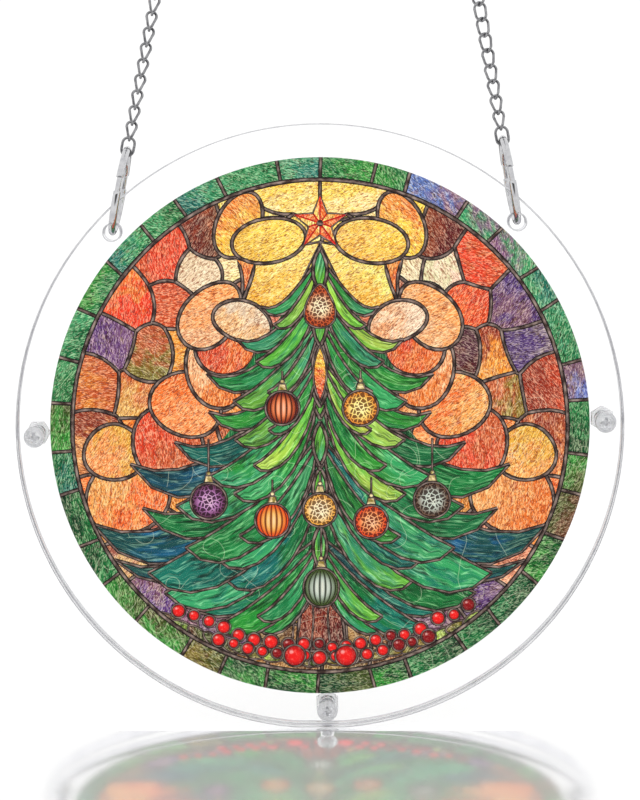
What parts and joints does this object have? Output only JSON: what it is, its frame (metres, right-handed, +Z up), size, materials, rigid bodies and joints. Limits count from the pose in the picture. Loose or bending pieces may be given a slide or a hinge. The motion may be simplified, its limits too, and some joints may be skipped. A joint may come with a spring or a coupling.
{
  "type": "window suncatcher",
  "caption": "Round window suncatcher: clear discs clamp a stained-glass style picture and hang on rings and a fine chain.",
  "frame": {"origin": "where the window hook carries the chain's top link: the inside of that link's upper end", "axes": "+Z up along the hanging chain, -Y out of the front of the picture, +X to the right as seen from the front"},
  "size_m": [0.1498, 0.0222, 0.3935],
  "materials": {
    "clear_acrylic": "clear, polished",
    "printed_film": "coloured picture on a translucent sheet",
    "clear_plastic": "clear, moulded",
    "polished_steel": "bright polished",
    "chain_steel": "bright, slightly darkened"
  },
  "bodies": {
    "root": {"front_panel": "clear_acrylic", "back_panel": "clear_acrylic", "printed_disc": "printed_film", "screw_left": "clear_plastic", "screw_right": "clear_plastic", "screw_bottom": "clear_plastic", "nut_left": "clear_plastic", "nut_right": "clear_plastic", "nut_bottom": "clear_plastic", "ring_left_upper": "polished_steel", "ring_left_lower": "polished_steel", "ring_right_upper": "polished_steel", "ring_right_lower": "polished_steel", "chain_left": "chain_steel", "chain_right": "chain_steel", "chain_top_link": "chain_steel"}
  },
  "joints": []
}
